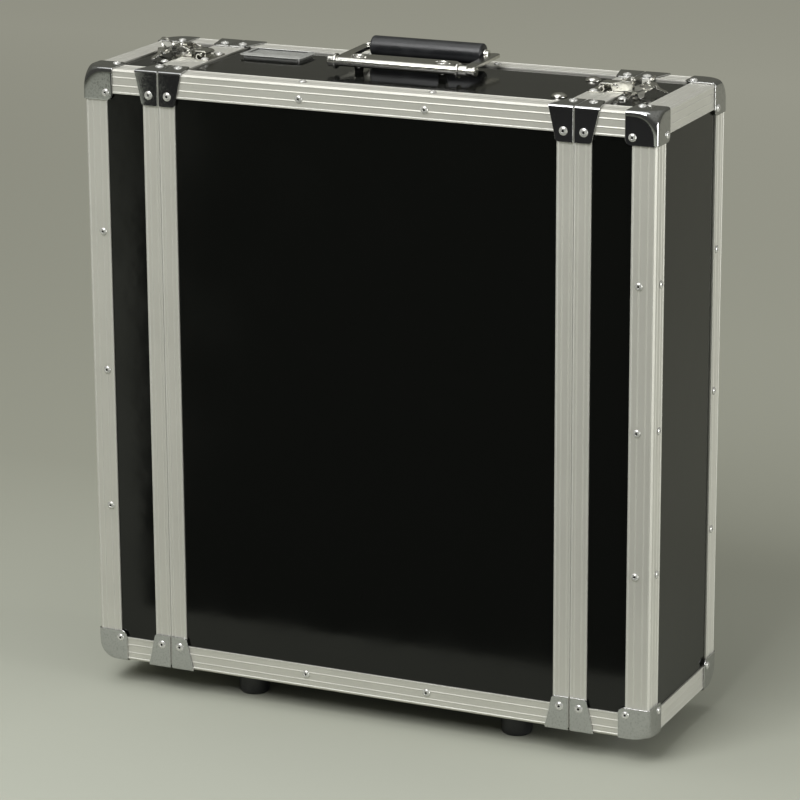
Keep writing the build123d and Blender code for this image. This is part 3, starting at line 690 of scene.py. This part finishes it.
base_screw = turned(((2.4, 2.5), (2.8, 2.8), (2.8, 3.4), (2.3, 4.2), (1.6, 4.5), (1.0, 4.5),
                     (0.8, 3.6)), 24)
base_screws = [stood(base_screw, (tube_shift + sx * cup_x, cup_y, face_z + 1.2), (0, 0, 1))
               for sx in (-1, 1)]
settle(joined("screws", base_screws), "handle_base_pan_screws", [zinc], "case_body",
       "zinc_screws", "handle_base_screws")

# Hinge pin and arms
# A turned steel pin with a flange and a hub at each end of the tube. Flat bars with an
# eye at one end hang on it and carry the grip's rod.
grip_y = 54.0
rod_z = half_z + 10.4


def arc(u, v, r, start, end, steps):
    """Points along an arc, its turns in degrees."""
    turns = [math.radians(start + (end - start) * i / steps) for i in range(steps + 1)]
    return [(u + r * math.cos(turn), v + r * math.sin(turn)) for turn in turns]


def cut_plate(outline, start, end, across="y"):
    """Plate with an outline in the upright plane along X, from one depth to another."""
    piece = begin("circle", vertices=len(outline), radius=10, fill_type="NGON")
    for vertex, (u, v) in zip(piece.data.vertices, outline):
        vertex.co = (u, start, v) if across == "y" else (start, u, v)
    edit(piece)
    bpy.ops.mesh.select_all(action="SELECT")
    step = (0, end - start, 0) if across == "y" else (end - start, 0, 0)
    bpy.ops.mesh.extrude_region_move(TRANSFORM_OT_translate={"value": step})
    close()
    return piece


pin_rings = [(1.6, -60.6), (3.0, -60.2), (3.0, -56.0), (6.4, -55.9), (6.6, -55.6), (6.6, -54.3),
             (6.4, -54.0), (3.0, -53.9), (3.0, 56.3), (6.4, 56.4), (6.7, 56.7), (6.7, 57.9),
             (6.4, 58.2), (3.6, 58.3), (3.6, 59.6), (4.3, 60.0), (4.3, 61.2), (3.6, 61.6),
             (3.6, 62.4), (4.6, 62.9), (4.6, 65.9), (3.4, 66.4), (3.4, 70.6), (4.4, 71.0),
             (4.4, 72.8), (3.8, 73.5), (2.2, 73.9)]
pin = stood(turned(pin_rings), (0, handle_y, hinge_z), (1, 0, 0))
settle(pin, "turned_hinge_pin", [nickel], "handle", "bright_handle_steel", "handle_pin")

bar_drop = 0.6
bar_low, bar_high = -2.2, 1.0
bar_corner = 3.6
past_rod = 5.5
eye_r = 4.9
rise = rod_z - bar_drop - hinge_z
tilt = math.atan2(rise, grip_y - handle_y)
reach = math.hypot(rise, grip_y - handle_y) + past_rod
outline = [(u * math.cos(tilt) - v * math.sin(tilt) + handle_y,
            u * math.sin(tilt) + v * math.cos(tilt) + hinge_z)
           for u, v in arc(0, 0, eye_r, 12, 333, 22) + [(reach, bar_low), (reach, bar_high)]]
arm_spans = {"right": ((66.2, 71.2), (56.2, 65.8)), "left": ((-60.2, -56.2), (-61.6, -52.6))}
for side, (at_eye, at_rod) in arm_spans.items():
    arm = cut_plate(outline, *at_rod, "x")
    edit(arm, "VERT")
    for end, goal in zip(reversed(at_rod), reversed(at_eye)):
        choose(lambda place, out: place.y < handle_y + 6 and abs(place.x - end) < 0.1)
        bpy.ops.transform.translate(value=(goal - end, 0, 0))
    bpy.ops.mesh.select_mode(type="EDGE")
    choose(lambda place, line: place.y > grip_y + 4 and abs(line.z) > 0.8)
    bpy.ops.mesh.bevel(offset=bar_corner, segments=6, affect="EDGES")
    close()
    soften(arm, 0.45, 3, 50)
    settle(arm, f"{side}_flat_arm", [nickel], "handle", "bright_handle_steel",
           f"handle_arm_{side}")

# Rod and grip
# A steel rod with a pressed collar at each end, and a black rubber sleeve pushed over it.
rod_rings = ((3.4, -55.5), (3.4, -53.0), (4.2, -52.9), (4.4, -52.5), (4.4, -51.7), (4.2, -51.3),
             (3.4, -51.2), (3.4, 52.9), (4.2, 53.0), (4.4, 53.4), (4.4, 54.2), (4.2, 54.6),
             (3.4, 54.7), (3.4, 57.0))
rod = stood(turned(rod_rings), (0, grip_y, rod_z), (1, 0, 0))
settle(rod, "collared_grip_rod", [nickel], "handle", "bright_handle_steel", "handle_rod")

grip_rings = ((3.5, -50.6), (7.4, -50.6), (8.4, -50.2), (8.9, -49.5), (9.0, -48.6), (9.0, -20),
              (9.0, 22), (9.0, 50.4), (8.9, 51.3), (8.4, 52.0), (7.4, 52.4), (3.5, 52.4))
grip = stood(turned(grip_rings, 44), (0, grip_y, rod_z), (1, 0, 0))
settle(grip, "rubber_grip_sleeve", [rubber], "handle", "black_rubber", "handle_grip")

# Latch keepers
# Strips of bright plated steel riveted to the body's seam strips, their edge rolled up
# into a hook for the claw. All latch pieces are made at the front seam on the top, with
# X from the seam and Z from the edging, then copied to the other three places.
at_seam = Matrix.Translation((seam_x, 0, half_z))


def latched(piece):
    """The piece at its own seam, from where it is copied."""
    return copied(piece, at_seam)


curl_u, curl_r = -3.4, 2.6
curl = cut_plate(arc(curl_u, curl_r, curl_r, -90, 175, 20)
                 + arc(curl_u, curl_r, curl_r - 1.0, 175, -90, 16), -13, 13)
keeper = begin("cube", size=1, scale=(10.8, 35.0, 1.0), location=(-8.8, 0, 0.5))
edit(keeper, "EDGE")
choose(lambda place, line: abs(line.z) > 0.9 and place.x < -14)
bpy.ops.mesh.bevel(offset=2.2, segments=5, affect="EDGES")
close()
keeper = joined("keeper", [keeper, curl])
soften(keeper, 0.22, angle=50)
corners = [(sx, 1, sz) for sx in (1, -1) for sz in (1, -1)]
settle(joined("keepers", mirrored(latched(keeper), *corners)), "rolled_latch_keepers", [nickel],
       "case_body", "nickel_latch", "latch_keepers")

# Latch plates
# Pressed base plates on the lids, joggled down from the edging to the board, with two
# riveted wings, two cheeks for the lever's pivots and a lug for the keys.
joggle = [(1.2, 0), (1.2, 1.0), (14.6, 1.0), (15.5, 0.7), (16.3, -0.1), (17.1, -0.5), (25.0, -0.5),
          (25.0, -1.5), (16.7, -1.5), (15.8, -1.1), (15.0, -0.3), (14.4, 0)]
pivot_u, pivot_w = 8.0, 5.0
lug_u, lug_w = 27.0, 3.0
wing_corner = 3.6
plate = cut_plate(joggle, -12.5, 12.5)
wings = begin("cube", size=1, scale=(8.0, 66.0, 1.0), location=(21.0, 0, -1.0))
edit(wings, "EDGE")
choose(lambda place, line: abs(line.z) > 0.9)
bpy.ops.mesh.bevel(offset=wing_corner, segments=6, affect="EDGES")
close()
modify(plate, "BOOLEAN", operation="UNION", object=wings, solver="EXACT")
cheek = cut_plate(arc(pivot_u, pivot_w, 3.0, 0, 180, 14) + [(5.0, 0.8), (11.0, 0.8)], 8.3, 9.5)
lug = cut_plate([(23.5, -1.2), (29.2, -1.2)] + arc(lug_u, lug_w, 2.2, 0, 100, 8)
                + [(24.6, 4.6), (23.5, 0)], -0.6, 0.6)
lug_bore = begin("cylinder", vertices=20, radius=1.6, depth=4, location=(lug_u, 0, lug_w),
                 rotation=(math.pi / 2, 0, 0))
modify(lug, "BOOLEAN", operation="DIFFERENCE", object=lug_bore, solver="EXACT")
plate = joined("plate", [plate, cheek, *mirrored(cheek, (1, -1, 1)), lug])
soften(plate, 0.2, angle=50)

# Latch pivots, levers and claws
# The lever is a channel pressed from steel, turning on two rivets in the cheeks, with a
# lock barrel in its roof. A claw hangs on a pin between its sides and hooks the keeper.
lock_u = 19.0
claw_u, claw_w = 12.6, 3.8
pivot_pin = turned(((1.45, 8.0), (1.45, 11.3), (2.3, 11.35), (2.4, 11.7), (2.1, 12.1),
                    (1.2, 12.3)))
pivot_pin = stood(pivot_pin, (pivot_u, 0, pivot_w), (0, 1, 0))
pivot_pins = joined("pins", mirrored(pivot_pin, (1, 1, 1), (1, -1, 1)))

side_corners = [(22.4, 2.1), (23.0, 2.7), (23.0, 9.2), (22.2, 10.0), (14.6, 10.0)]
lever = cut_plate(arc(pivot_u, pivot_w, 3.4, 90, 270, 18) + side_corners, 9.8, 11.0)
lever = joined("lever", [lever, *mirrored(lever, (1, -1, 1))])
roof = begin("cube", size=1, scale=(7.5, 21.0, 1.2), location=(19.25, 0, 9.4))
end_wall = begin("cube", size=1, scale=(1.2, 21.0, 7.0), location=(22.4, 0, 6.1))
modify(lever, "BOOLEAN", operation="UNION", object=roof, solver="EXACT")
modify(lever, "BOOLEAN", operation="UNION", object=end_wall, solver="EXACT")
soften(lever, 0.3, 3, 50)
barrel = turned(((2.9, 7.2), (3.0, 10.5), (2.75, 10.85), (2.1, 11.0), (1.9, 10.75),
                 (1.6, 10.75)))
barrel = copied(barrel, Matrix.Translation((lock_u, 0, 0)))
key_slot = begin("cube", size=1, scale=(0.7, 2.4, 2.0), location=(lock_u, 0, 11.0))
modify(barrel, "BOOLEAN", operation="DIFFERENCE", object=key_slot, solver="EXACT")
lever = joined("lever", [lever, barrel])

claw = cut_plate([(-7.6, 1.8), (-7.3, 1.5), (-6.7, 1.5), (-6.4, 1.8)]
                 + arc(-5.6, 4.8, 0.8, 180, 90, 4)
                 + [(10.6, 5.6)] + arc(claw_u, claw_w, 2.3, 132, 400, 20)
                 + [(13.4, 6.8)] + arc(-5.4, 4.6, 2.2, 90, 180, 8), -7.5, 7.5)
soften(claw, 0.25, angle=50)
claw_pin = turned(((0.8, -11.2), (1.05, -11.0), (1.05, 11.0), (0.8, 11.2)), 16)
claw_pin = stood(claw_pin, (claw_u, 0, claw_w), (0, 1, 0))

for end, sx in (("front", 1), ("rear", -1)):
    lid = f"{end}_lid"
    both = [(sx, 1, 1), (sx, 1, -1)]
    settle(joined("plates", mirrored(latched(plate), *both)), f"{end}_pressed_latch_plates",
           [nickel], lid, "nickel_latch", f"{end}_latch_plates")
    settle(joined("pins", mirrored(latched(pivot_pins), *both)), f"{end}_latch_pivots",
           [nickel], lid, "nickel_latch", f"{end}_latch_pins")
    for level, row in zip(("top", "bottom"), both):
        where = f"{end}_{level}"
        settle(mirrored(latched(lever), row)[0], f"{where}_channel_lever", [nickel],
               f"{where}_lever", "nickel_latch", f"{where}_latch_lever")
        settle(mirrored(latched(claw), row)[0], f"{where}_hook_claw", [nickel],
               f"{where}_claw", "nickel_latch", f"{where}_latch_claw")
        settle(mirrored(latched(claw_pin), row)[0], f"{where}_claw_rivet", [nickel],
               f"{where}_lever", "nickel_latch", f"{where}_claw_pin")

# Key rings and keys
# Split rings wound from hard steel wire through the lugs of the top latches, each with
# two flat stamped keys whose tips lie on the board.
ring_middle = 7.8
ring_wire = 0.42
ring_pitch = 0.9
key_half = 0.55
key_reach = 20.0
key_drop = 6.5
key_turn = 60
key_headings = ((0.3, -0.95), (0.8, -0.1))
lean = Vector((math.cos(math.radians(45)), 0, math.sin(math.radians(45))))
hole = Vector((lug_u, 0, lug_w))
ring = begin("circle", vertices=10, radius=ring_wire, fill_type="NOTHING",
             location=(ring_middle, 0, -ring_pitch), rotation=(math.pi / 2, 0, 0))
modify(ring, "SCREW", angle=math.tau, iterations=2, screw_offset=ring_pitch, steps=44,
       render_steps=44, use_merge_vertices=False)
edit(ring, "EDGE")
bpy.ops.mesh.select_all(action="SELECT")
bpy.ops.mesh.fill_holes(sides=12)
close()
ring = stood(ring, hole + lean * ring_middle, lean.cross((0, 1, 0)))

key = begin("circle", vertices=41, radius=10, fill_type="NGON")
teeth = [(key_reach, 0.3), (19.2, -1.6), (18.2, -2.4), (17.2, -1.3), (16.0, -2.6), (14.9, -1.5),
         (13.8, -2.9), (12.8, -1.9), (11.8, -2.9), (10.6, -3.0)]
outline = arc(3.2, 0, 5.9, -28, -332, 28) + [(17.2, 2.8)] + teeth
for vertex, (u, v) in zip(key.data.vertices, outline):
    vertex.co = (u, v, -key_half)
edit(key)
bpy.ops.mesh.select_all(action="SELECT")
bpy.ops.mesh.extrude_region_move(TRANSFORM_OT_translate={"value": (0, 0, 2 * key_half)})
close()
key_bore = begin("cylinder", vertices=24, radius=2.1, depth=4)
modify(key, "BOOLEAN", operation="DIFFERENCE", object=key_bore, solver="EXACT")
soften(key, 0.2, angle=50)
hung = []
for s, (u, w) in zip((-1, 1), key_headings):
    turn = math.radians(s * key_turn)
    place = hole + lean * ring_middle * (1 - math.cos(turn))
    place += Vector((0, ring_middle * math.sin(turn), 0))
    drop = key_drop / key_reach
    flat = math.sqrt(1 - drop ** 2) / math.hypot(u, w)
    along = Vector((u * flat, w * flat, -drop))
    side = Vector((0, 0, 1)).cross(along).normalized()
    turned_key = Matrix((along, side, along.cross(side))).transposed().to_4x4()
    hung.append(copied(key, Matrix.Translation(place) @ turned_key))
pair = joined("keys", hung)
for end, sx in (("front", 1), ("rear", -1)):
    row = (sx, 1, 1)
    settle(mirrored(latched(ring), row)[0], f"{end}_split_ring", [nickel], f"{end}_lid",
           "nickel_keys", f"{end}_key_ring")
    settle(mirrored(latched(pair), row)[0], f"{end}_stamped_keys", [nickel], f"{end}_lid",
           "nickel_keys", f"{end}_keys")

# The pieces that were only copied from are taken away.
for piece in [thing for thing in bpy.data.objects if thing.type == "MESH" and not thing.parent]:
    bpy.data.objects.remove(piece)

# Studio
# A pale paper floor under a soft overhead light, with one high in front and a low one on
# the right. A slanted black card in front, unseen itself, is what the near face mirrors.
floor = begin("plane", size=16, location=(0, 2, 0))
floor.name = "floor"
paper, tree, shader = new_material("pale_paper_sweep")
away = add_node(tree, "ShaderNodeSeparateXYZ", {
    "Vector": add_node(tree, "ShaderNodeTexCoord").outputs["Object"]})
# Painted light: the paper is lighter near the case and darker behind it, and from half a metre
# back it glows, to the camera and to reflections only.
far = remap(tree, away.outputs["Y"], 0.5, 2.8, 0, 1)
near = remap(tree, away.outputs["Y"], -0.4, 0.5, 0, 1)
surface(tree, shader, blend_of(tree, near, "#B4B7AB", "#A1A295"))
shader.inputs["Roughness"].default_value = 0.9
shader.inputs["Specular IOR Level"].default_value = 0.1
rays = add_node(tree, "ShaderNodeLightPath")
seen = add_node(tree, "ShaderNodeMath", {0: rays.outputs["Is Camera Ray"]}, operation="ADD")
tree.links.new(rays.outputs["Is Glossy Ray"], seen.inputs[1])
painted_far_glow = add_node(tree, "ShaderNodeMath", {0: seen.outputs[0], 1: far}, operation="MULTIPLY")
shader.inputs["Emission Color"].default_value = linear("#6E6D65")
tree.links.new(painted_far_glow.outputs[0], shader.inputs["Emission Strength"])
floor.data.materials.append(paper)

card_slant = -1.83
card = begin("cube", size=1, scale=(1.3, 3.3, 0.002), location=(0.33, -1.92, 0.003))
edit(card)
choose(lambda place, out: out.y < -0.9)
bpy.ops.transform.translate(value=(card_slant, 0, 0))
close()
card.name = "black_card"
felt, tree, shader = new_material("black_felt")
shader.inputs["Base Color"].default_value = linear("#0C0C0C")
shader.inputs["Roughness"].default_value = 1.0
card.data.materials.append(felt)
card.visible_camera = False
card.visible_diffuse = False
card.visible_shadow = False


def soft_light(name, place, target, size, power):
    """Square soft light aimed at a point."""
    lamp = bpy.data.lights.new(name, "AREA")
    lamp.shape = "SQUARE"
    lamp.size = size
    lamp.energy = power
    made = bpy.data.objects.new(name, lamp)
    bpy.context.collection.objects.link(made)
    made.location = place
    made.rotation_mode = "QUATERNION"
    made.rotation_quaternion = (Vector(target) - Vector(place)).to_track_quat("-Z", "Y")


soft_light("overhead", (-0.4, -0.4, 2.8), (0, 0, 0.3), 2.4, 24)
soft_light("front_top", (-0.4, -2.3, 2.6), (0, 0, 0.3), 1.8, 84)
soft_light("right_side", (2.6, -0.2, 0.6), (0, 0, 0.3), 1.4, 40)

world = bpy.data.worlds.new("grey_room")
bpy.context.scene.world = world
world.use_nodes = True
tree = world.node_tree
facing = add_node(tree, "ShaderNodeSeparateXYZ", {
    "Vector": add_node(tree, "ShaderNodeTexCoord").outputs["Generated"]})
behind = remap(tree, facing.outputs["Y"], -0.35, 0.25, 0, 1)
above = remap(tree, facing.outputs["Z"], 0.35, 0.80, 0, 1)
tree.links.new(blend_of(tree, above, blend_of(tree, behind, "#50504C", "#66665E"), "#8F8F89"),
               tree.nodes["Background"].inputs["Color"])
tree.nodes["Background"].inputs["Strength"].default_value = 1.0

camera = bpy.data.cameras.new("camera")
camera_object = bpy.data.objects.new("camera", camera)
bpy.context.collection.objects.link(camera_object)
bpy.context.scene.camera = camera_object
place = Vector((1.23107, -2.69270, 1.11634))
aim = Vector((-0.00005, -0.00595, 0.27115))
roll = math.radians(-0.312)
camera.lens = 161.08
camera.sensor_width = 36
camera.clip_start = 0.1
camera.clip_end = 60
camera_object.location = place
camera_object.rotation_mode = "QUATERNION"
straight = (aim - place).to_track_quat("-Z", "Y")
camera_object.rotation_quaternion = straight @ Matrix.Rotation(roll, 4, "Z").to_quaternion()

bpy.context.scene.view_settings.view_transform = "Standard"
